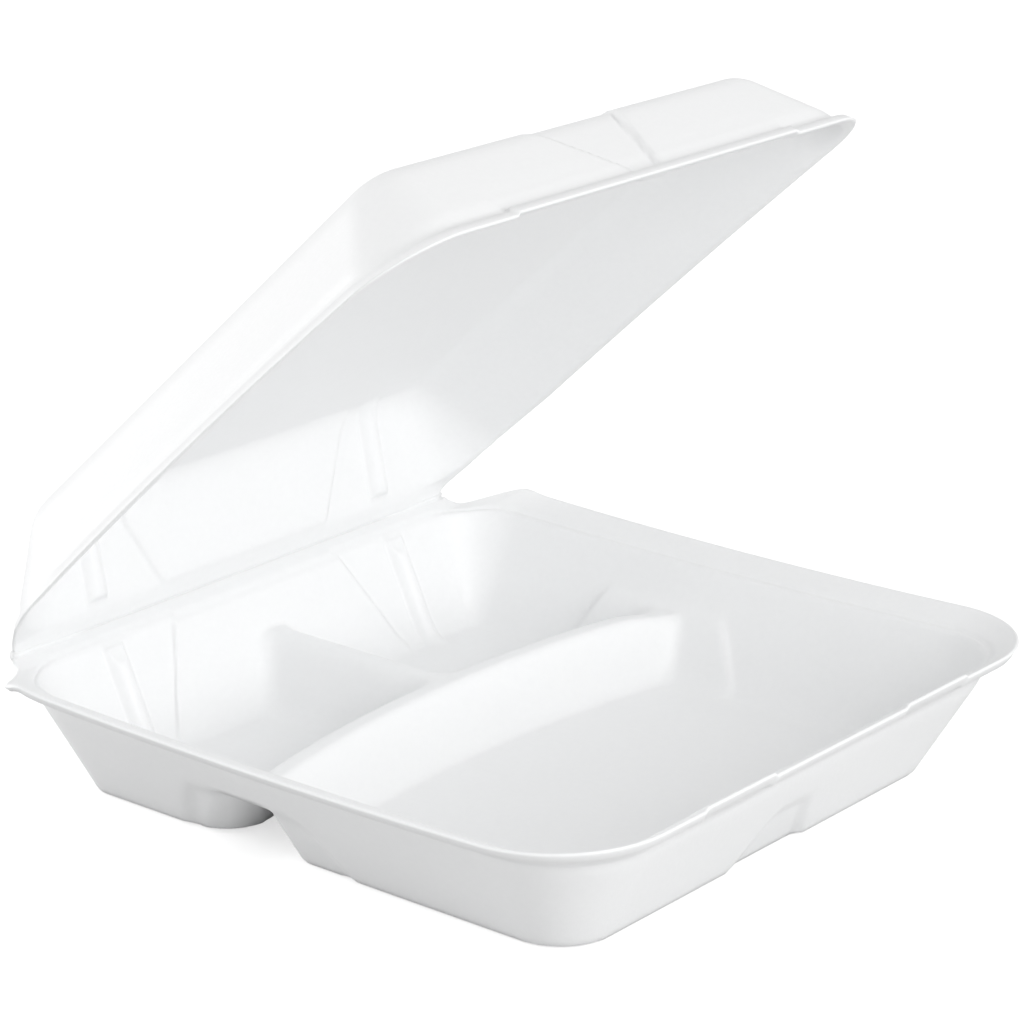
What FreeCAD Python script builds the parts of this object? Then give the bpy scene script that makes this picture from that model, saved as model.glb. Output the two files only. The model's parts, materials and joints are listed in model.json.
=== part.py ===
import FreeCAD, Part
import math
import os

from FreeCAD import Vector

# Foam container with three compartments and a hinged lid, formed from one foam sheet.
# X runs along the hinge, +Y points to the hinge, +Z is up, all in millimetres.
# The origin lies on the underside of the front compartment, below the tray's centre.

# Foam sheet
SHEET = 2.5                  # wall thickness
EDGE = 1.8                   # thickness of the pressed edge of the rims
LIP = 0.8                    # flat top of that edge

# Hinge: the crease where the two rims meet
HINGE_Y = 114.3              # from the tray's centre to the crease
HINGE_GAP = 0.3              # clearance between the two rims, face to face
HINGE_HALF = 101.2           # half length of the crease
CREASE_FOOT = 0.3            # the flat strip to the crease starts this far below the wall's top
LID_OPEN = 42.8              # degrees from shut, as the photograph shows it

# Tray: inner faces of its walls
RIM_TOP = 42.6               # height of the rim's edge
WALL_TOP = 37.4              # height where the walls turn into the rim
TRAY_HALF = 109.0            # half width between the side walls, at WALL_TOP
TRAY_FRONT = 110.0           # from the centre to the front wall, at WALL_TOP
TRAY_BACK = 108.2            # from the centre to the back wall, at WALL_TOP
SIDE_DRAFT = 28.0            # degrees from upright
FRONT_DRAFT = 28.0
BACK_DRAFT = 26.0
CORNER_TOP = 27.0            # plan radius of the corners at WALL_TOP
CORNER_FLOOR = 14.0          # and at the floor
FLOOR_ROUND = 6.0            # rounding between floor and walls

# Rim of the tray
RIM_HALF = 120.5
RIM_FRONT = 119.5
RIM_CORNER = 36.0
CREASE_TOP = 39.5            # the rim is lower at the crease
RIM_TIP_Y = 96.0             # where the side rims end
RIM_NECK = (105.0, 101.5)    # narrowest point beside the hinge
RIM_NOTCH = (100.5, 108.3)   # inner corner of the notch at each end of the hinge

# Dividers
RIDGE_TOP = 24.0             # height of their ridges
RIDGE_HALF = 3.8             # half width of the flat ridge
RIDGE_Y = 28.0               # main divider, at the centre
RIDGE_BOW = 0.0012           # it bows towards the hinge: y falls by this times x squared
DIVIDER_FRONT_DRAFT = 18.0   # its steep front
DIVIDER_DRAFT = 27.0         # its back, and both sides of the back divider
DIVIDER_CORNER = 13.0        # plan radius where dividers and walls meet

# Wall panels beside the main divider, set in from the side walls
PANEL_DEPTH = 4.2
PANEL_SLOPE = 9.0            # length of their slanted ends
PANEL_FLOOR = (-24.0, 58.0)  # front and back end at the floor
PANEL_RIDGE = (-9.0, 48.0)   # and at the ridge's height

# Recess in the middle of the front wall, of tray and lid
RECESS_FLOOR = (21.0, 3.5)   # half width and depth at the floor
RECESS_RIDGE = (9.0, 0.6)    # and at its other end
RECESS_SLOPE = 2.6           # width of its slanted ends

# Back wall, of tray and lid: upright flutes, and a panel set in between slanted steps
FLUTE_X = 66.0
FLUTE_HALF = 4.0
FLUTE_TOP_HALF = 1.2
FLUTE_DEPTH = 3.0
STEP_TOP = 36.8
STEP_FLOOR = 55.0
STEP_DEPTH = 1.2

# Lock windows: stretches of the two front rims that stand higher when shut, and catch
LOCK_NEAR = 32.5
LOCK_FAR = 66.0
LOCK_RISE = 1.2
LOCK_REACH = 8.0             # how far back from the rim's edge they reach
LOCK_PLAY = 1.0              # the lid's windows are longer than the tray's by this at each end

# Lid, as a bowl that opens upwards: inner faces of its walls
LID_DEPTH = 32.0             # from the rim's edge to the outside of the flat panel
LID_WALL_TOP = 30.8
LID_CREASE = 34.0            # height of the crease; it lies outside the plane of the lid's rim
LID_HALF = 108.0
LID_FRONT = 110.3
LID_BACK = 108.2
LID_SIDE_DRAFT = 37.0
LID_FRONT_DRAFT = 28.0
LID_BACK_DRAFT = 28.0
LID_CORNER_TOP = 24.0
LID_CORNER_FLOOR = 15.0
LID_RIM_HALF = 113.2
LID_RIM_FRONT = 115.2
LID_RIM_CORNER = 26.5
LID_TAPER_START = 60.0       # the lid's rim narrows from here
LID_TAPER = (109.0, 97.0)    # to here, beside the hinge

# Share of the shorter run that an arc may take up, and the radius of a corner left sharp
ARC_SHARE = 0.45
SHARP = 0.0


def tangent(degrees):
    return math.tan(math.radians(degrees))


def between(low, high, share):
    return low + (high - low) * share


def ridge_line(x):
    """Middle of the main divider's ridge, as y at x."""
    return RIDGE_Y - RIDGE_BOW * x * x


def wire(corners, z):
    """Closed wire at height z: straight runs, joined by a tangent arc at each (x, y, radius).

    A radius of None makes the arc as large as its two runs allow.
    """
    bends = []
    for index, (x, y, radius) in enumerate(corners):
        before = corners[index - 1]
        after = corners[(index + 1) % len(corners)]
        here = Vector(x, y, z)
        run_in = here - Vector(before[0], before[1], z)
        run_out = Vector(after[0], after[1], z) - here
        half_turn = run_in.getAngle(run_out) / 2
        reach = ARC_SHARE * min(run_in.Length, run_out.Length)
        if radius is not None:
            reach = min(reach, radius * math.tan(half_turn))
        run_in.normalize()
        run_out.normalize()
        inward = (run_out - run_in).normalize()
        rise = reach / math.sin(half_turn) - reach / math.tan(half_turn)
        bends.append((here - run_in * reach, here + inward * rise, here + run_out * reach))
    edges = []
    for index, (start, middle, end) in enumerate(bends):
        if corners[index][2] != SHARP:
            edges.append(Part.Arc(start, middle, end).toShape())
        edges.append(Part.LineSegment(end, bends[(index + 1) % len(bends)][0]).toShape())
    return Part.Wire(edges)


def mirrored(right):
    """Whole outline from its right half, which runs from the front to the back."""
    left = [(-x, y, radius) for x, y, radius in reversed(right)]
    return right + left


def loft(levels):
    """Solid with straight sides through (corners, z) outlines."""
    return Part.makeLoft([wire(corners, z) for corners, z in levels], True, True)


def bowl(outline, bottom, top, radius, grow):
    """Solid of a bowl from bottom to top, with its walls grow outwards and a rounded foot."""
    draft = math.radians(SIDE_DRAFT)
    last = math.pi / 2 - draft
    foot = radius * math.sin(last) - radius * (1 - math.cos(last)) * math.tan(draft)
    levels = []
    steps = 2
    for step in range(steps + 1):
        angle = last * step / steps
        height = radius * (1 - math.cos(angle))
        inset = foot + height * math.tan(draft) - radius * math.sin(angle)
        levels.append((outline(bottom + height, grow - inset), bottom + height))
    levels.append((outline(top, grow), top))
    return loft(levels)


def shell(draft):
    """Horizontal thickness of a wall at this draft."""
    return SHEET / math.cos(math.radians(draft))


def back_wall(share, y, half_inner):
    """Corners of the back wall's flute and step, from right to left, at a share of its height."""
    step = between(STEP_FLOOR, STEP_TOP, share)
    corners = [(FLUTE_X + FLUTE_HALF, y, SHARP)]
    corners.append((FLUTE_X + FLUTE_TOP_HALF, y - FLUTE_DEPTH, SHARP))
    corners.append((FLUTE_X - FLUTE_TOP_HALF, y - FLUTE_DEPTH, SHARP))
    corners.append((FLUTE_X - FLUTE_HALF, y, SHARP))
    corners.append((step + STEP_DEPTH, y, SHARP))
    corners.append((step, y - STEP_DEPTH, SHARP))
    if half_inner is not None:
        corners.append((half_inner, y - STEP_DEPTH, DIVIDER_CORNER))
    return corners


def recess(share, y):
    """Corners of the right half of the front recess; the wall is at -y."""
    half = between(RECESS_FLOOR[0], RECESS_RIDGE[0], share)
    depth = between(RECESS_FLOOR[1], RECESS_RIDGE[1], share)
    return [(half - RECESS_SLOPE, depth - y, SHARP), (half, -y, SHARP)]


def tray_walls(z, grow):
    """Half width, front, back and corner radius of the tray's walls at height z."""
    down = WALL_TOP - z
    half = TRAY_HALF - down * tangent(SIDE_DRAFT) + grow
    front = TRAY_FRONT - down * tangent(FRONT_DRAFT) + grow
    back = TRAY_BACK - down * tangent(BACK_DRAFT) + grow
    corner = between(CORNER_FLOOR, CORNER_TOP, z / WALL_TOP) + grow
    return half, front, back, corner


def divider_half(z, grow, draft):
    """Half width of a divider at height z, on a side of this draft."""
    return RIDGE_HALF + (RIDGE_TOP - z) * tangent(draft) - grow


def pan_outline(z, grow):
    """Walls above the dividers, round all three compartments."""
    half, front, back, corner = tray_walls(z, grow)
    right = [(half, -front, corner), (half, back, corner)]
    return mirrored(right + back_wall(z / WALL_TOP, back, None))


def front_outline(z, grow):
    """Front compartment."""
    half, front, back, corner = tray_walls(z, grow)
    share = z / RIDGE_TOP
    inner = half - PANEL_DEPTH
    step = between(PANEL_FLOOR[0], PANEL_RIDGE[0], share)
    divider = divider_half(z, grow, DIVIDER_FRONT_DRAFT)
    right = recess(share, front)
    right.append((half, -front, corner))
    right.append((half, step, SHARP))
    right.append((inner, step + PANEL_SLOPE, SHARP))
    right.append((inner, ridge_line(inner) - divider, DIVIDER_CORNER + grow))
    right.append((inner / 2, ridge_line(inner / 2) - divider, None))
    return mirrored(right)


def back_outline(z, grow):
    """Back compartment on the right."""
    half, front, back, corner = tray_walls(z, grow)
    inner = half - PANEL_DEPTH
    step = between(PANEL_FLOOR[1], PANEL_RIDGE[1], z / RIDGE_TOP)
    divider = divider_half(z, grow, DIVIDER_DRAFT)
    middle = (divider + inner) / 2
    corners = [(divider, ridge_line(divider) + divider, DIVIDER_CORNER + grow)]
    corners.append((middle, ridge_line(middle) + divider, None))
    corners.append((inner, ridge_line(inner) + divider, DIVIDER_CORNER + grow))
    corners.append((inner, step - PANEL_SLOPE, SHARP))
    corners.append((half, step, SHARP))
    corners.append((half, back, corner))
    return corners + back_wall(z / WALL_TOP, back, divider)


def tray_bowls(bottom, ridge, top, radius, grow):
    """The three compartments and the room above them, as one solid."""
    front = bowl(front_outline, bottom, ridge, radius, grow)
    right = bowl(back_outline, bottom, ridge, radius, grow)
    left = right.mirror(Vector(0, 0, 0), Vector(1, 0, 0))
    pan = loft([(pan_outline(ridge, grow), ridge), (pan_outline(top, grow), top)])
    return pan.fuse([front, right, left])


def lid_walls(z, grow):
    """Half width, front, back and corner radius of the lid's walls, z above its flat panel."""
    down = LID_WALL_TOP - z
    half = LID_HALF - down * tangent(LID_SIDE_DRAFT) + grow
    front = LID_FRONT - down * tangent(LID_FRONT_DRAFT) + grow
    back = LID_BACK - down * tangent(LID_BACK_DRAFT) + grow
    corner = between(LID_CORNER_FLOOR, LID_CORNER_TOP, z / LID_WALL_TOP) + grow
    return half, front, back, corner


def lid_outline(z, grow):
    """Walls of the lid."""
    half, front, back, corner = lid_walls(z, grow)
    share = z / LID_WALL_TOP
    right = recess(share, front) + [(half, -front, corner), (half, back, corner)]
    return mirrored(right + back_wall(share, back, None))


def plain(half, front, back, corner, back_corner):
    """Rounded rectangle with its front at -front."""
    return mirrored([(half, -front, corner), (half, back, back_corner)])


def rim(walls, wall_top, top, draft, edge):
    """Sloping rim from the top of the walls to its edge: its body, and the room inside it.

    The edge is half width, front, back and corner radius.
    """
    outer = walls(wall_top, shell(draft))
    inner = walls(wall_top, 0.0)
    mouth = [size - LIP for size in edge]
    body = [(plain(*outer, outer[3]), wall_top - SHEET / 2)]
    body.append((plain(*edge, edge[3]), top - EDGE))
    body.append((plain(*edge, edge[3]), top))
    room = [(plain(*inner, inner[3]), wall_top), (plain(*mouth, mouth[3]), top)]
    return loft(body), loft(room)


def with_locks(solid, front, top, rise, play):
    """The solid with its front rim moved by rise, up or down, along the two lock windows."""
    near = LOCK_NEAR - play
    far = LOCK_FAR + play
    windows = []
    for low_x in (-far, near):
        corner = Vector(low_x, -front - LIP, top - LOCK_REACH / 2)
        windows.append(Part.makeBox(far - near, LOCK_REACH, LOCK_REACH, corner))
    moved = [solid.common(window).translated(Vector(0, 0, rise)) for window in windows]
    return solid.cut(windows).fuse(moved)


def trim(corners, top):
    """Prism that cuts the rim to its outline."""
    face = Part.Face(wire(mirrored(corners), -SHEET))
    return face.extrude(Vector(0, 0, top + 2 * SHEET))


def across(section):
    """Prism along the crease with this (y, z) section."""
    points = [Vector(-HINGE_HALF, y, z) for y, z in section]
    face = Part.Face(Part.makePolygon(points + [points[0]]))
    return face.extrude(Vector(2 * HINGE_HALF, 0, 0))


def with_crease(solid, back, draft, wall_top, crease_top):
    """The solid with its back rim as a flat strip from the top of the wall to the crease."""
    foot = (back - CREASE_FOOT * tangent(draft), wall_top - CREASE_FOOT)
    crease = (HINGE_Y - HINGE_GAP / 2, crease_top)
    above = wall_top + SHEET * 4
    strip = [foot, crease, (crease[0], crease_top - EDGE), (back, wall_top - SHEET)]
    relief = [foot, crease, (crease[0], above), (foot[0], above)]
    return solid.cut(across(relief)).fuse(across(strip))


def make_tray():
    grow = shell(SIDE_DRAFT)
    walls = tray_bowls(0.0, RIDGE_TOP - SHEET, WALL_TOP - SHEET / 2, FLOOR_ROUND + SHEET, grow)
    hollow = tray_bowls(SHEET, RIDGE_TOP, WALL_TOP, FLOOR_ROUND, 0.0)
    edge = (RIM_HALF, RIM_FRONT, HINGE_Y, RIM_CORNER)
    body, room = rim(tray_walls, WALL_TOP, RIM_TOP, SIDE_DRAFT, edge)
    solid = walls.fuse(body).cut(hollow.fuse(room))
    outline = [(RIM_HALF, -RIM_FRONT, RIM_CORNER), (RIM_HALF, RIM_TIP_Y, SHARP)]
    outline.append((RIM_NECK[0], RIM_NECK[1], SHARP))
    outline.append((RIM_NOTCH[0], RIM_NOTCH[1], SHARP))
    outline.append((HINGE_HALF, HINGE_Y - HINGE_GAP / 2, SHARP))
    trimmed = solid.common(trim(outline, RIM_TOP))
    creased = with_crease(trimmed, TRAY_BACK, BACK_DRAFT, WALL_TOP, CREASE_TOP)
    return with_locks(creased, RIM_FRONT, RIM_TOP, LOCK_RISE, 0.0)


def make_lid_bowl():
    """The lid as a bowl that opens upwards, with its flat panel on z = 0 and its hinge at HINGE_Y."""
    grow = shell(LID_SIDE_DRAFT)
    walls = bowl(lid_outline, 0.0, LID_WALL_TOP - SHEET / 2, FLOOR_ROUND + SHEET, grow)
    hollow = bowl(lid_outline, SHEET, LID_WALL_TOP, FLOOR_ROUND, 0.0)
    edge = (LID_RIM_HALF, LID_RIM_FRONT, HINGE_Y, LID_RIM_CORNER)
    body, room = rim(lid_walls, LID_WALL_TOP, LID_DEPTH, LID_SIDE_DRAFT, edge)
    solid = walls.fuse(body).cut(hollow.fuse(room))
    outline = [(LID_RIM_HALF, -LID_RIM_FRONT, LID_RIM_CORNER), (LID_RIM_HALF, LID_TAPER_START, None)]
    outline.append((LID_TAPER[0], LID_TAPER[1], None))
    outline.append((HINGE_HALF, HINGE_Y - HINGE_GAP / 2, SHARP))
    trimmed = solid.common(trim(outline, LID_DEPTH))
    creased = with_crease(trimmed, LID_BACK, LID_BACK_DRAFT, LID_WALL_TOP, LID_CREASE)
    return with_locks(creased, LID_RIM_FRONT, LID_DEPTH, -LOCK_RISE, LOCK_PLAY)


def make_lid():
    """The lid at rest: turned over about the hinge from lying flat behind the tray."""
    lid = make_lid_bowl()
    axis_z = CREASE_TOP + HINGE_GAP / 2
    lid.translate(Vector(0, 0, CREASE_TOP - LID_CREASE))
    lid.rotate(Vector(0, HINGE_Y, 0), Vector(0, 0, 1), 180)
    lid.rotate(Vector(0, HINGE_Y, axis_z), Vector(1, 0, 0), 180 - LID_OPEN)
    return lid


def save(name, shape):
    """Write one node, and print what was made."""
    solids = shape.Solids
    print(name, "solids", len(solids), "valid", shape.isValid(), "volume", round(shape.Volume / 1000, 2), "cm3")
    shape.exportStep("parts/" + name + ".step")


os.makedirs("parts", exist_ok=True)
save("base_tray", make_tray())
save("lid", make_lid())
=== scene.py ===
import json
import math

import bpy
import numpy as np
from mathutils import Matrix, Vector


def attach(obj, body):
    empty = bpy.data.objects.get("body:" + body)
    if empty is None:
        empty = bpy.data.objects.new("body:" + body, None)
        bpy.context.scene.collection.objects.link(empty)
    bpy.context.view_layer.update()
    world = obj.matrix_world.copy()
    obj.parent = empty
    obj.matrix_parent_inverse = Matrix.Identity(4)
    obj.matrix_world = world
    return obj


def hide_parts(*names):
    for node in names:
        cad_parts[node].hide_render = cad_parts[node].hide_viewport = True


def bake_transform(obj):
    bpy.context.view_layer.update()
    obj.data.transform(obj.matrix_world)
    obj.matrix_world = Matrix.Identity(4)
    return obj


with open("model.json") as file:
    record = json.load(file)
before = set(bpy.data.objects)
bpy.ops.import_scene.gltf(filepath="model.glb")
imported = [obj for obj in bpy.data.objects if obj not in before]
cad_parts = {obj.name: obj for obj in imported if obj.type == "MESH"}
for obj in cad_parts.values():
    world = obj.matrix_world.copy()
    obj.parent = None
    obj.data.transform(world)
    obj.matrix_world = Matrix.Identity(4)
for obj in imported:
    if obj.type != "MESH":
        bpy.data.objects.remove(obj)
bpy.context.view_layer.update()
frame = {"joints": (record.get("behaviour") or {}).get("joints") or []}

# Sizes are millimetres until mesh_object() turns them into metres. X runs along the hinge,
# +Y points to the hinge and +Z is up, with the tray's underside on z = 0.
MM = 0.001
TINY = 1e-6                  # keeps a quotient finite

# Foam sheet and its trimmed edge, as (distance in from the outline, drop below the top)
SHEET = 2.5
EDGE_INSET = 1.6
EDGE_PROFILE = ((1.0, 0.0), (0.62, 0.1), (0.35, 0.35), (0.08, 0.8), (0.0, 1.05), (0.3, 1.4))
CREASE_PROFILE = ((1.0, 0.0), (0.62, 0.0), (0.3, 0.0), (0.0, 0.03), (0.0, 1.4), (0.3, 1.9))
CREASE_NEAR = 0.01           # an edge this near to the crease gets the second profile
LID_EDGE = 0.75              # the drops at the lid's edge are this times as large
SLOPE_STEP = 1.2             # span over which the sheet's slope is measured

# Hinge, from the model's own joint
HINGE = frame["joints"][0]
HINGE_Y = HINGE["pos_m"][1] / MM
AXIS_Z = HINGE["pos_m"][2] / MM
LID_OPEN = -HINGE["range_deg"][0]
HINGE_GAP = 0.3
HINGE_HALF = 101.2
CREASE_Y = HINGE_Y - HINGE_GAP / 2
CREASE_TOP = AXIS_Z - HINGE_GAP / 2

# Walls of the tray as (height, half width, front, back, radius of the front corners and of the back ones)
WALL_TOP = 37.4
TRAY_LOW = (0.0, 89.1, 90.1, 90.0, 14.0, 5.0)
TRAY_HIGH = (WALL_TOP, 109.0, 110.0, 108.2, 27.0, 22.0)
TRAY_MOUTH = (42.6, 119.7, 118.7, 113.5, 35.2, 32.0)
FLOOR_BLEND = 8.0            # how softly floor and walls join
WALL_BLEND = 1.4             # and walls and rim
UNDER_BLEND = 0.4            # the underside's roundings are this times as wide
GROOVE = 0.7                 # depth of the line between walls and rim
GROOVE_AT = 1.7              # the wall would stand this far over the rim there
GROOVE_SPAN = 0.9

# Rim of the tray
RIM_HALF = 120.5
RIM_FRONT = 119.5
RIM_CORNER = 36.0
RIM_BOW = 1.1                # the front rim bows outwards
RIM_SAG = 2.2                # the side rims hang in the middle
# Half widths of the outline, as (y, half width)
RIM_TIPS = ((-200.0, 120.5), (95.5, 120.5), (97.0, 119.9), (101.0, 113.6), (104.5, 109.2),
            (109.0, 103.4), (114.2, 101.2))
TIP_X = (100.0, 120.0)       # the rim climbs between these, from the crease to its tips
TIP_RISE = 4.2
TIP_Y = 98.0                 # and from here to the front it climbs to its full height
TIP_SLOPE = 0.35
SAG_FROM = 0.5               # share of the half width from which the sheet hangs
SAG_LIMIT = 1.2              # and of the wall's height up to which it hangs more and more

# Dividers
RIDGE_TOP = 24.0
RIDGE_HALF = 3.8
RIDGE_Y = 28.0               # main divider, at the centre
RIDGE_BOW = 0.0012           # its y falls by this times x squared
RIDGE_FRONT_SLOPE = 1 / math.tan(math.radians(18))
RIDGE_SLOPE = 1 / math.tan(math.radians(27))
RIDGE_BLEND = 5.0            # how softly the ridges are rounded on top
JUNCTION_BLEND = 16.0        # and join each other
END_BLEND = 14.0             # and the walls
END_BLEND_BEHIND = 26.0      # but softer at the side walls, behind the main divider
END_BLEND_X = (60.0, 80.0)
END_DIP = 2.0                # the main divider is lower at its right end, as the photo shows
END_DIP_X = (76.0, 97.0)

# Set-in panels of the side walls, as (depth, length of the slope at each end) and (front end, back end)
PANEL = (1.9, 3.0)
PANEL_UNDER = (1.0, 8.0)
PANEL_FLOOR = (-19.0, 54.5)
PANEL_RIDGE = (-4.5, 44.0)
PANEL_FADE = (15.0, 26.0)    # panels and the front recess fade out between these heights

# Recesses of the two front walls, as (half width, depth)
RECESS_FLOOR = (21.0, 2.3)
RECESS_RIDGE = (9.0, 0.6)
RECESS_SLOPE = 5.0
LID_RECESS_PANEL = (22.5, 1.6)
LID_RECESS_RIM = (6.5, 1.3)
LID_RECESS_SLOPE = 2.8

# Flutes and slanted steps of the two back walls
FLUTE_X = 66.0
FLUTE_HALF = 4.4
FLUTE_DEPTH = 3.4
FLUTE_CUT = 2.0              # the flutes end this far below the top
STEP_TOP = 36.8
STEP_FLOOR = 55.0
STEP_DEPTH = 1.2

# Lock windows of the two front rims. The lid has one long window over both of the tray's
LOCK_NEAR = 32.5
LOCK_FAR = 66.0
LOCK_RISE = 0.9
LOCK_REACH = 8.0
LOCK_RAMP = 5.0
LOCK_SLOPE = 1.3

# Lid as a bowl that opens upwards, like the tray
LID_CREASE = 34.0
LID_TOP = 30.8
LID_LOW = (0.0, 84.8, 93.9, 90.0, 8.0, 8.0)
LID_HIGH = (LID_TOP, 108.0, 110.3, 108.2, 24.0, 24.0)
LID_MOUTH = (32.0, 112.4, 114.4, 113.5, 25.7, 25.7)
LID_RIM_HALF = 113.2
LID_RIM_FRONT = 115.2
LID_RIM_CORNER = 26.5
LID_FLOOR_BLEND = 7.0
LID_STRIP_X = (96.0, 104.0)  # the strip to the crease turns into the rim between these
LID_SIDE_BOW = 1.7
LID_SAG = 2.3
# Half widths of the lid's outline, as (y, half width)
LID_TIPS = ((-200.0, 113.2), (60.0, 112.6), (90.0, 110.2), (101.0, 107.6), (109.5, 103.5), (114.2, 101.2))

# Crease: slopes of the strips beside it, depths below the skin where it ends in them, and its own size
TRAY_STRIP_SLOPE = 19.4
LID_STRIP_SLOPE = 28.3
CREASE_DEPTHS = (0.04, 1.6)
CREASE_REACH = 1.0
CREASE_RADIUS = 1.85
CREASE_TURN = 0.7            # half the width of a bend; it only scales the direction across the crease, which nothing uses
CREASE_RINGS = 60
CREASE_ARC = 9               # points on its rounded back

# Grids of the two sheets as (position, spacing after it), finer where the sheet bends more
TRAY_COLUMNS = ((0, 1.5), (30, 0.7), (42, 0.9), (60, 0.65), (72, 1.3), (86, 1.2), (105, 0.65), (112, 1.1),
                (RIM_HALF - EDGE_INSET, 1))
TRAY_ROWS = ((EDGE_INSET - RIM_FRONT, 0.9), (-104, 1.2), (-88, 2.2), (-26, 1.3), (4, 0.9), (44, 1.5),
             (86, 1.0), (98, 0.75), (CREASE_Y - EDGE_INSET, 1))
LID_COLUMNS = ((0, 1.2), (24, 1.3), (34, 0.9), (60, 0.6), (72, 1.3), (82, 1.1),
               (LID_RIM_HALF - EDGE_INSET, 1))
LID_ROWS = ((EDGE_INSET - LID_RIM_FRONT, 0.9), (-104, 1.1), (-86, 3.0), (84, 1.1), (98, 0.75),
            (CREASE_Y - EDGE_INSET, 1))
GRID_CORE = 0.66             # share of the half width in which the columns stay straight

# White foam: colours and roughness as (least, most), and the grain of its cells
FOAM_COLOURS = ((0.905, 0.91, 0.915, 1), (0.935, 0.94, 0.942, 1))
FOAM_ROUGHNESS = (0.36, 0.52)
GRAIN_SCALE = 520.0
GRAIN_BUMP = 0.12
GRAIN_DEPTH = 0.0004
CLOUD_SCALE = 28.0

# Camera, as fitted to the photograph, in metres and degrees
CAMERA_AT = (-0.8197, -0.6581, 0.4411)
CAMERA_AZIMUTH = -51.13
CAMERA_ELEVATION = 18.72
CAMERA_ROLL = 0.45
CAMERA_LENS = 130.42
SENSOR = 36.0

# Studio, in metres and watts: lamps as (name, place, width, power)
AIM = (0.0, 0.0, 0.06)
LAMPS = (
    ("front", (-0.2, -1.5, 0.66), 1.0, 10.9),
    ("left", (-0.6, 1.45, 0.22), 0.8, 11.0),
)
WORLD_LIGHT = (0.84, 0.69)   # at the horizon and overhead
FLOOR_SIZE = 8.0
FLOOR_DROP = 0.0003
FLOOR_COLOUR = (0.68, 0.68, 0.68, 1)
FLOOR_ROUGHNESS = 0.9
FLOOR_GLOW = 0.6
WHITE = (1, 1, 1, 1)


def smooth_max(a, b, width):
    """The larger of two heights, rounded where they differ by less than width."""
    overlap = np.maximum(width - np.abs(a - b), 0.0)
    return np.maximum(a, b) + overlap * overlap / (4 * width)


def smooth_min(a, b, width):
    return -smooth_max(-a, -b, width)


def ease(low, high, value):
    """0 below low, 1 above high, and a smooth rise between."""
    share = np.clip((value - low) / (high - low), 0.0, 1.0)
    return share * share * (3 - 2 * share)


def between(low, high, share):
    return low + (high - low) * share


def band(value, low, high, slope):
    """1 between low and high, with a smooth rise of width slope inside each end."""
    return ease(low, low + slope, value) * ease(high, high - slope, value)


def wall_height(x, y, low, high):
    """Height at (x, y) of the slanted, round-cornered wall through two outlines."""
    z0, half, front, back, front_corner, back_corner = low
    rise = high[0] - z0
    half_rate = (high[1] - half) / rise
    corner = np.where(y < 0, front_corner, back_corner)
    corner_rate = np.where(y < 0, high[4] - front_corner, high[5] - back_corner) / rise
    reach = np.abs(y)
    end = np.where(y < 0, front, back)
    end_rate = np.where(y < 0, high[2] - front, high[3] - back) / rise
    straight = np.maximum((np.abs(x) - half) / half_rate, (reach - end) / end_rate)
    # In a corner the height t solves (ax - bx t)^2 + (ay - by t)^2 = (corner + corner_rate t)^2
    ax = np.abs(x) - (half - corner)
    ay = reach - (end - corner)
    bx = half_rate - corner_rate
    by = end_rate - corner_rate
    square = bx * bx + by * by - corner_rate * corner_rate
    middle = ax * bx + ay * by + corner * corner_rate
    rest = ax * ax + ay * ay - corner * corner
    root = np.sqrt(np.maximum(middle * middle - square * rest, 0.0))
    rounded = rest / np.maximum(middle + root, TINY)
    in_corner = (ax - bx * rounded > 0) & (ay - by * rounded > 0)
    return z0 + np.where(in_corner, rounded, straight)


def front_recess(x, share, foot, end, slope):
    """How far the middle of a front wall is set back, narrowing from its foot to its end."""
    half = between(foot[0], end[0], share)
    depth = between(foot[1], end[1], share)
    return depth * ease(half, half - slope, np.abs(x))


def back_wall_height(x, y, low, high, share):
    """The wall with the stepped middle and the flutes of its back, which stand into the bowl."""
    step = between(STEP_FLOOR, STEP_TOP, share)
    end = y + np.where(y > 0, STEP_DEPTH * ease(step + STEP_DEPTH, step, np.abs(x)), 0.0)
    across = (np.abs(x) - FLUTE_X) / FLUTE_HALF
    flute = np.where(y > 0, FLUTE_DEPTH * np.maximum(1 - across * across, 0.0), 0.0)
    fluted = np.minimum(wall_height(x, end + flute, low, high), high[0] - FLUTE_CUT)
    return np.maximum(wall_height(x, end, low, high), fluted)


def lock_rise(x, y, near, front):
    """Lift of the front rim in its lock windows, which run from near to LOCK_FAR on both sides."""
    reach = np.clip((-y - (front - LOCK_REACH)) / LOCK_RAMP, 0.0, 1.0)
    inner_end = ease(near, near + LOCK_SLOPE, np.abs(x))
    outer_end = ease(LOCK_FAR, LOCK_FAR - LOCK_SLOPE, np.abs(x))
    return LOCK_RISE * reach * inner_end * outer_end


def crease_strip(y, wall_y, wall_z, crease_z):
    """Height of the flat strip between the back wall's top and the crease."""
    return wall_z + (y - wall_y) * (crease_z - wall_z) / (CREASE_Y - wall_y)


def side_sag(x, y, height, depth, half, front, wall_top):
    """How far the side rims and the walls under them hang, most of all in the middle of each side."""
    middle = 1 - np.clip(y / front, -1.0, 1.0) ** 2
    sideways = ease(SAG_FROM, 1.0, np.abs(x) / half)
    return depth * middle * sideways * np.clip(height / wall_top, 0.0, SAG_LIMIT) ** 2


def tray_rim(x, y):
    """The sloping rim, limited by the strip to the crease and by the climb from there."""
    strip = np.maximum(crease_strip(y, TRAY_HIGH[3], WALL_TOP, CREASE_TOP), WALL_TOP)
    limit = strip + TIP_RISE * ease(TIP_X[0], TIP_X[1], np.abs(x))
    limit = limit + TIP_SLOPE * np.maximum(TIP_Y - y, 0.0)
    return smooth_min(wall_height(x, y, TRAY_HIGH, TRAY_MOUTH), limit, WALL_BLEND)


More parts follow.
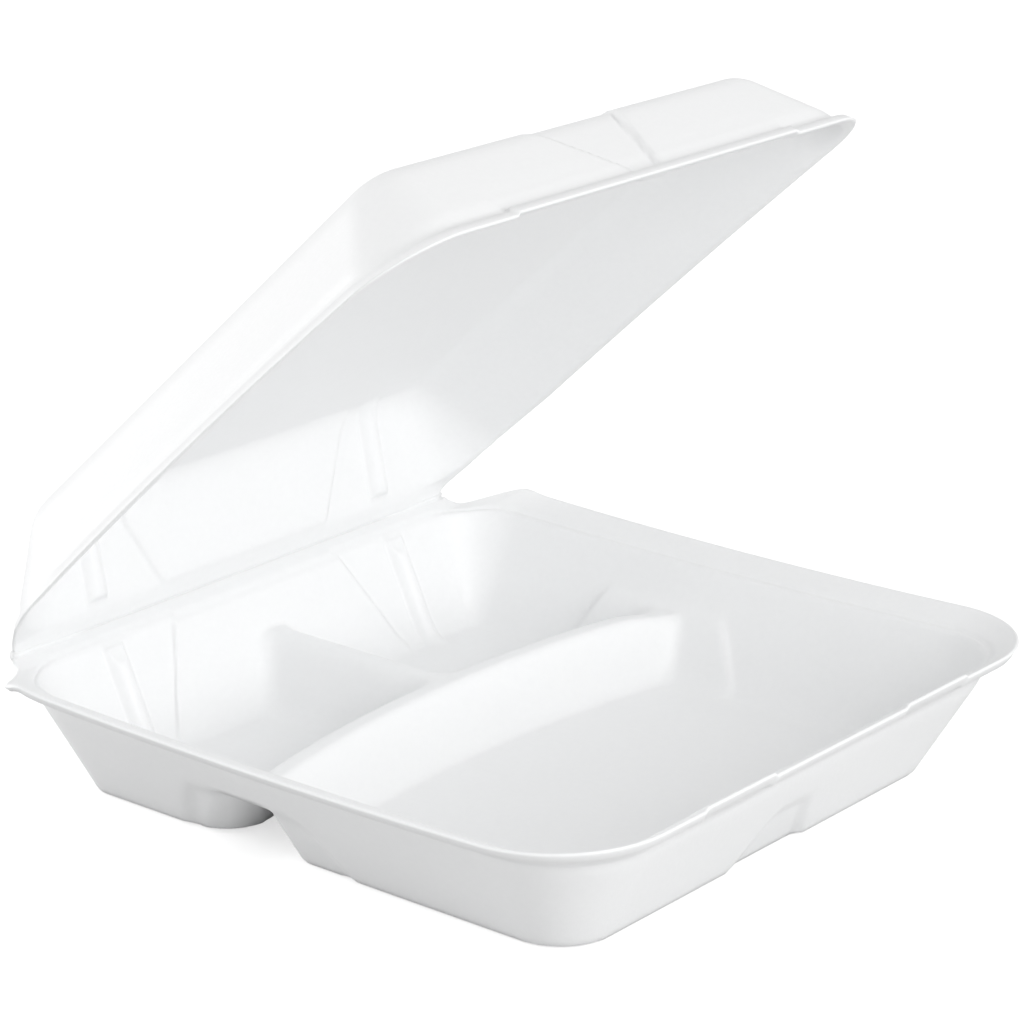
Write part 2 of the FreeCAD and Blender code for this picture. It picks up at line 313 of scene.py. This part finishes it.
def tray_walls(x, y, under):
    """Walls of the tray with their panels, recess, steps and flutes, and the rim around them."""
    plain = np.clip(wall_height(x, y, TRAY_LOW, TRAY_HIGH), SHEET, WALL_TOP)
    ridge_share = np.minimum(plain / RIDGE_TOP, 1.0)
    fade = ease(PANEL_FADE[1], PANEL_FADE[0], plain)
    low_end = between(PANEL_FLOOR[0], PANEL_RIDGE[0], ridge_share)
    high_end = between(PANEL_FLOOR[1], PANEL_RIDGE[1], ridge_share)
    depth, slope = PANEL_UNDER if under else PANEL
    panel = depth * band(y, low_end, high_end, slope) * fade
    recess = front_recess(x, ridge_share, RECESS_FLOOR, RECESS_RIDGE, RECESS_SLOPE) * fade
    end = np.where(y < 0, y - recess, y)
    wall = back_wall_height(np.abs(x) + panel, end, TRAY_LOW, TRAY_HIGH, plain / WALL_TOP)
    rim = tray_rim(x, y)
    walls = smooth_min(wall, rim, WALL_BLEND)
    if under:
        return walls
    return walls - GROOVE * np.exp(-((wall - rim - GROOVE_AT) / GROOVE_SPAN) ** 2)


def with_dividers(walls, x, y, soft):
    """The walls and the hollow ridges of the main and the back divider, joined softly."""
    across = y - (RIDGE_Y - RIDGE_BOW * x * x)
    slope = np.where(across < 0, RIDGE_FRONT_SLOPE, RIDGE_SLOPE)
    crest = RIDGE_TOP - END_DIP * ease(END_DIP_X[0], END_DIP_X[1], x)
    main = crest + (RIDGE_HALF - np.abs(across)) * slope
    side = RIDGE_TOP + (RIDGE_HALF - np.abs(x)) * RIDGE_SLOPE
    side = np.where(y > RIDGE_Y, side, -RIDGE_TOP)
    ridges = smooth_max(main, side, JUNCTION_BLEND * soft)
    behind = ease(-RIDGE_HALF, RIDGE_HALF, across) * ease(END_BLEND_X[0], END_BLEND_X[1], np.abs(x))
    joined = smooth_max(walls, ridges, between(END_BLEND, END_BLEND_BEHIND, behind))
    return np.maximum(walls, smooth_min(joined, crest, RIDGE_BLEND * soft))


def tray_height(x, y, under=False):
    """Top surface of the tray's sheet, or the sharper one that its underside follows."""
    soft = UNDER_BLEND if under else 1.0
    formed = with_dividers(tray_walls(x, y, under), x, y, soft)
    top = smooth_max(formed, SHEET, FLOOR_BLEND * soft)
    sag = side_sag(x, y, top, RIM_SAG, RIM_HALF, RIM_FRONT, WALL_TOP)
    return top - sag + lock_rise(x, y, LOCK_NEAR, RIM_FRONT)


def tray_under_height(x, y):
    return tray_height(x, y, under=True)


def lid_height(x, y):
    """Inner surface of the lid's sheet, in the lid's own upturned frame."""
    plain = np.clip(wall_height(x, y, LID_LOW, LID_HIGH), SHEET, LID_TOP)
    share = plain / LID_TOP
    recess = front_recess(x, share, LID_RECESS_PANEL, LID_RECESS_RIM, LID_RECESS_SLOPE)
    end = np.where(y < 0, y - recess, y)
    wall = back_wall_height(x, end, LID_LOW, LID_HIGH, share)
    rim = wall_height(x, y, LID_HIGH, LID_MOUTH)
    strip = crease_strip(y, LID_HIGH[3], LID_TOP, LID_CREASE)
    rim = np.maximum(rim, between(strip, rim, ease(LID_STRIP_X[0], LID_STRIP_X[1], np.abs(x))))
    top = smooth_max(smooth_min(wall, rim, WALL_BLEND), SHEET, LID_FLOOR_BLEND)
    sag = side_sag(x, y, top, LID_SAG, LID_RIM_HALF, LID_RIM_FRONT, LID_TOP)
    return top - sag - lock_rise(x, y, -LOCK_FAR, LID_RIM_FRONT)


def lines(stops):
    """Grid positions through (position, spacing after it) stops, up to the last position."""
    places = []
    for (start, spacing), (end, _) in zip(stops, stops[1:]):
        places.extend(np.linspace(start, end, max(1, round((end - start) / spacing)), endpoint=False))
    return np.array(places + [stops[-1][0]])


def mirrored_lines(stops):
    half = lines(stops)
    return np.concatenate([-half[:0:-1], half])


def plan(columns, rows, front, corner, tips, bow, side_bow):
    """Grid points (x, y) that fill an outline: round front corners, and half widths by y as tips say."""
    s, t = np.meshgrid(columns, rows)
    half = columns[-1]
    a = np.clip((np.abs(s) - (half - corner)) / corner, 0.0, 1.0)
    b = np.clip((-t - (front - corner)) / corner, 0.0, 1.0)
    x = np.where(a > 0, half - corner + corner * a * np.sqrt(1 - b * b / 2), np.abs(s))
    y = np.where(b > 0, -(front - corner + corner * b * np.sqrt(1 - a * a / 2)), t)
    core = GRID_CORE * half
    width = np.interp(y, *zip(*tips)) - side_bow * (y / front) ** 2
    narrowed = core + (x - core) * (width - EDGE_INSET - core) / (half - core)
    x = np.where(x > core, narrowed, x) * np.sign(s)
    y = y + bow * np.clip(x / half, -1.0, 1.0) ** 2 * ease(-front / 2, -front, y)
    return x, y


def grid_quads(index):
    corners = (index[:-1, :-1], index[:-1, 1:], index[1:, 1:], index[1:, :-1])
    return np.stack([corner.ravel() for corner in corners], axis=1)


def sheet_bottom(x, y, top, under_height):
    """Height of the sheet's underside, one thickness away and never below the floor."""
    span = SLOPE_STEP / 2
    slope_x = (under_height(x + span, y) - under_height(x - span, y)) / SLOPE_STEP
    slope_y = (under_height(x, y + span) - under_height(x, y - span)) / SLOPE_STEP
    bottom = np.minimum(under_height(x, y), top) - SHEET * np.sqrt(1 + slope_x ** 2 + slope_y ** 2)
    return np.maximum(bottom, 0.0)


def sheet_mesh(x, y, height, under_height, edge_share):
    """Vertices and faces of the closed foam sheet whose top surface is height over the grid (x, y)."""
    top = height(x, y)
    bottom = sheet_bottom(x, y, top, under_height)
    rows, columns = x.shape
    index = np.arange(rows * columns).reshape(rows, columns)
    loop = np.concatenate([index[0, :-1], index[:-1, -1], index[-1, :0:-1], index[:0:-1, 0]])
    flat_x, flat_y = x.ravel(), y.ravel()
    edge = np.stack([flat_x[loop], flat_y[loop]], axis=1)
    along = np.roll(edge, -1, axis=0) - np.roll(edge, 1, axis=0)
    outward = np.stack([along[:, 1], -along[:, 0]], axis=1)
    outward /= np.linalg.norm(outward, axis=1)[:, None]
    points = [np.stack([flat_x, flat_y, top.ravel()], axis=1)]
    rings = [loop]
    count = rows * columns
    creased = edge[:, 1] > CREASE_Y - EDGE_INSET - CREASE_NEAR
    for (inset, drop), (crease_inset, crease_drop) in zip(EDGE_PROFILE, CREASE_PROFILE):
        ring = edge + outward * (EDGE_INSET - np.where(creased, crease_inset, inset))[:, None]
        z = height(ring[:, 0], ring[:, 1]) - np.where(creased, crease_drop, drop * edge_share)
        points.append(np.column_stack([ring, z]))
        rings.append(np.arange(count, count + len(loop)))
        count += len(loop)
    points.append(np.stack([flat_x, flat_y, bottom.ravel()], axis=1))
    rings.append(loop + count)
    under = index + count
    quads = [grid_quads(index), grid_quads(under)[:, ::-1]]
    for inner, outer in zip(rings, rings[1:]):
        quads.append(np.stack([inner, outer, np.roll(outer, -1), np.roll(inner, -1)], axis=1))
    return np.concatenate(points), np.concatenate(quads)


def mesh_object(name, points, quads, material):
    """A smooth-shaded mesh object from points in millimetres."""
    mesh = bpy.data.meshes.new(name)
    mesh.from_pydata((points * MM).tolist(), [], [list(quad) for quad in quads])
    mesh.validate()
    mesh.polygons.foreach_set("use_smooth", [True] * len(mesh.polygons))
    mesh.materials.append(material)
    piece = bpy.data.objects.new(name, mesh)
    bpy.context.scene.collection.objects.link(piece)
    return piece


def make_tray(material):
    columns = mirrored_lines(TRAY_COLUMNS)
    rows = lines(TRAY_ROWS)
    x, y = plan(columns, rows, RIM_FRONT - EDGE_INSET, RIM_CORNER - EDGE_INSET, RIM_TIPS, RIM_BOW, 0.0)
    points, quads = sheet_mesh(x, y, tray_height, tray_under_height, 1.0)
    tray = mesh_object("formed_tray", points, quads, material)
    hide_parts("base_tray")
    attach(tray, "base")


def lid_to_rest(points):
    """Turns points of the upturned lid about the hinge, to where the lid is at rest."""
    x = -points[:, 0]
    y = HINGE_Y - points[:, 1]
    z = points[:, 2] + CREASE_TOP - LID_CREASE - AXIS_Z
    turn = math.radians(180 - LID_OPEN)
    turned_y = HINGE_Y + y * math.cos(turn) - z * math.sin(turn)
    turned_z = AXIS_Z + y * math.sin(turn) + z * math.cos(turn)
    return np.stack([x, turned_y, turned_z], axis=1)


def make_lid(material):
    columns = mirrored_lines(LID_COLUMNS)
    rows = lines(LID_ROWS)
    front = LID_RIM_FRONT - EDGE_INSET
    x, y = plan(columns, rows, front, LID_RIM_CORNER - EDGE_INSET, LID_TIPS, 0.0, LID_SIDE_BOW)
    points, quads = sheet_mesh(x, y, lid_height, lid_height, LID_EDGE)
    lid = mesh_object("formed_lid", lid_to_rest(points), quads, material)
    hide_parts("lid")
    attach(lid, "lid")


def polar(degrees, radius=1.0):
    """Point (y, z) at this angle from +Y, seen from the hinge axis."""
    return np.array([math.cos(math.radians(degrees)), math.sin(math.radians(degrees))]) * radius


def crease_section():
    """Outline (y, z) of the crease about the hinge axis, and the direction across it.

    It reaches into the sheets of tray and lid, just under their skins.
    """
    lid_angle = LID_OPEN + LID_STRIP_SLOPE
    tray_in, tray_out = polar(180 + TRAY_STRIP_SLOPE), polar(TRAY_STRIP_SLOPE - 90)
    lid_in, lid_out = polar(180 - lid_angle), polar(90 - lid_angle)
    tray_skin = np.array([-HINGE_GAP / 2, -HINGE_GAP / 2])
    lid_skin = polar(180 - LID_OPEN - 45, HINGE_GAP / math.sqrt(2))
    shallow, deep = CREASE_DEPTHS
    section = [tray_skin + tray_in * CREASE_REACH + tray_out * shallow, tray_skin + tray_out * shallow]
    section += [lid_skin + lid_out * shallow, lid_skin + lid_in * CREASE_REACH + lid_out * shallow]
    section += [lid_skin + lid_in * CREASE_REACH + lid_out * deep]
    start = math.degrees(math.atan2(lid_out[1], lid_out[0]))
    end = math.degrees(math.atan2(tray_out[1], tray_out[0]))
    section += [polar(angle, CREASE_RADIUS) for angle in np.linspace(start, end, CREASE_ARC)]
    section += [tray_skin + tray_in * CREASE_REACH + tray_out * deep]
    return np.array(section), lid_in - tray_in


def make_crease(material):
    """The creased foam between tray and lid, shaped for the lid at rest and fixed in place."""
    section, across = crease_section()
    places = np.linspace(-HINGE_HALF + CREASE_REACH, HINGE_HALF - CREASE_REACH, CREASE_RINGS)
    rings = [np.column_stack([np.full(len(section), x), section + (HINGE_Y, AXIS_Z)]) for x in places]
    index = np.arange(len(places) * len(section)).reshape(len(places), len(section))
    around = np.column_stack([index, index[:, 0]])
    quads = grid_quads(around).tolist() + [index[0].tolist()[::-1], index[-1].tolist()]
    crease = mesh_object("hinge_crease", np.concatenate(rings), quads, material)
    across = across / np.linalg.norm(across) * CREASE_TURN
    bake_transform(crease)


def node(tree, kind, place, **inputs):
    """A shader node with its inputs set."""
    made = tree.nodes.new(kind)
    made.location = place
    for name, value in inputs.items():
        made.inputs[name.replace("_", " ")].default_value = value
    return made


def foam_material():
    """White closed-cell foam: a soft mottle of cells under a thin satin skin."""
    material = bpy.data.materials.new("white_foam")
    material.use_nodes = True
    tree = material.node_tree
    shader = tree.nodes["Principled BSDF"]
    coordinates = node(tree, "ShaderNodeTexCoord", (-1100, 0))
    grain = node(tree, "ShaderNodeTexNoise", (-850, -50), Scale=GRAIN_SCALE, Detail=2.0, Roughness=0.6)
    clouds = node(tree, "ShaderNodeTexNoise", (-850, -300), Scale=CLOUD_SCALE, Detail=1.0, Roughness=0.5)
    for texture in (grain, clouds):
        tree.links.new(coordinates.outputs["Object"], texture.inputs["Vector"])
    tint = tree.nodes.new("ShaderNodeMix")
    tint.data_type = "RGBA"
    tint.location = (-500, 200)
    tint.inputs["A"].default_value, tint.inputs["B"].default_value = FOAM_COLOURS
    tree.links.new(grain.outputs["Fac"], tint.inputs["Factor"])
    tree.links.new(tint.outputs["Result"], shader.inputs["Base Color"])
    gloss = node(tree, "ShaderNodeMapRange", (-500, -250), To_Min=FOAM_ROUGHNESS[0], To_Max=FOAM_ROUGHNESS[1])
    tree.links.new(clouds.outputs["Fac"], gloss.inputs["Value"])
    tree.links.new(gloss.outputs["Result"], shader.inputs["Roughness"])
    bump = node(tree, "ShaderNodeBump", (-250, -100), Strength=GRAIN_BUMP, Distance=GRAIN_DEPTH)
    tree.links.new(grain.outputs["Fac"], bump.inputs["Height"])
    tree.links.new(bump.outputs["Normal"], shader.inputs["Normal"])
    return material


def floor_material():
    """Pale floor, which the camera sees as white around the object's shadow."""
    material = bpy.data.materials.new("pale_floor")
    material.use_nodes = True
    tree = material.node_tree
    shader = tree.nodes["Principled BSDF"]
    shader.inputs["Base Color"].default_value = FLOOR_COLOUR
    shader.inputs["Roughness"].default_value = FLOOR_ROUGHNESS
    shader.inputs["Emission Color"].default_value = WHITE
    rays = node(tree, "ShaderNodeLightPath", (-600, 0))
    glow = node(tree, "ShaderNodeMath", (-300, 0))
    glow.operation = "MULTIPLY"
    glow.inputs[1].default_value = FLOOR_GLOW
    tree.links.new(rays.outputs["Is Camera Ray"], glow.inputs[0])
    tree.links.new(glow.outputs["Value"], shader.inputs["Emission Strength"])
    return material


def make_camera():
    data = bpy.data.cameras.new("camera")
    data.lens = CAMERA_LENS
    data.sensor_width = SENSOR
    data.sensor_fit = "HORIZONTAL"
    camera = bpy.data.objects.new("camera", data)
    turn = Matrix.Rotation(math.radians(CAMERA_AZIMUTH), 4, "Z")
    tip = Matrix.Rotation(math.radians(90 - CAMERA_ELEVATION), 4, "X")
    roll = Matrix.Rotation(math.radians(CAMERA_ROLL), 4, "Z")
    camera.matrix_world = Matrix.Translation(CAMERA_AT) @ turn @ tip @ roll
    bpy.context.scene.collection.objects.link(camera)
    bpy.context.scene.camera = camera


def make_lamp(name, place, width, power):
    data = bpy.data.lights.new(name, "AREA")
    data.size = width
    data.energy = power
    lamp = bpy.data.objects.new(name, data)
    lamp.location = place
    lamp.rotation_euler = (Vector(AIM) - Vector(place)).to_track_quat("-Z", "Y").to_euler()
    bpy.context.scene.collection.objects.link(lamp)


def make_world():
    """White surroundings, for the camera at full strength and for the object as WORLD_LIGHT says."""
    world = bpy.data.worlds.new("studio")
    world.use_nodes = True
    tree = world.node_tree
    sky = tree.nodes["Background"]
    sky.inputs["Color"].default_value = WHITE
    rays = node(tree, "ShaderNodeLightPath", (-700, 0))
    direction = node(tree, "ShaderNodeTexCoord", (-1100, -200))
    upward = node(tree, "ShaderNodeSeparateXYZ", (-900, -200))
    light = node(tree, "ShaderNodeMapRange", (-700, -200), To_Min=WORLD_LIGHT[0], To_Max=WORLD_LIGHT[1])
    strength = node(tree, "ShaderNodeMapRange", (-300, 0), To_Max=1.0)
    tree.links.new(direction.outputs["Generated"], upward.inputs["Vector"])
    tree.links.new(upward.outputs["Z"], light.inputs["Value"])
    tree.links.new(light.outputs["Result"], strength.inputs["To Min"])
    tree.links.new(rays.outputs["Is Camera Ray"], strength.inputs["Value"])
    tree.links.new(strength.outputs["Result"], sky.inputs["Strength"])
    bpy.context.scene.world = world


def make_floor():
    bpy.ops.mesh.primitive_plane_add(size=FLOOR_SIZE, location=(0, 0, -FLOOR_DROP))
    floor = bpy.context.object
    floor.name = "floor"
    floor.data.materials.append(floor_material())


make_camera()
make_world()
make_floor()
for lamp in LAMPS:
    make_lamp(*lamp)
foam = foam_material()
make_tray(foam)
make_lid(foam)
make_crease(foam)
bpy.context.scene.view_settings.view_transform = "Standard"
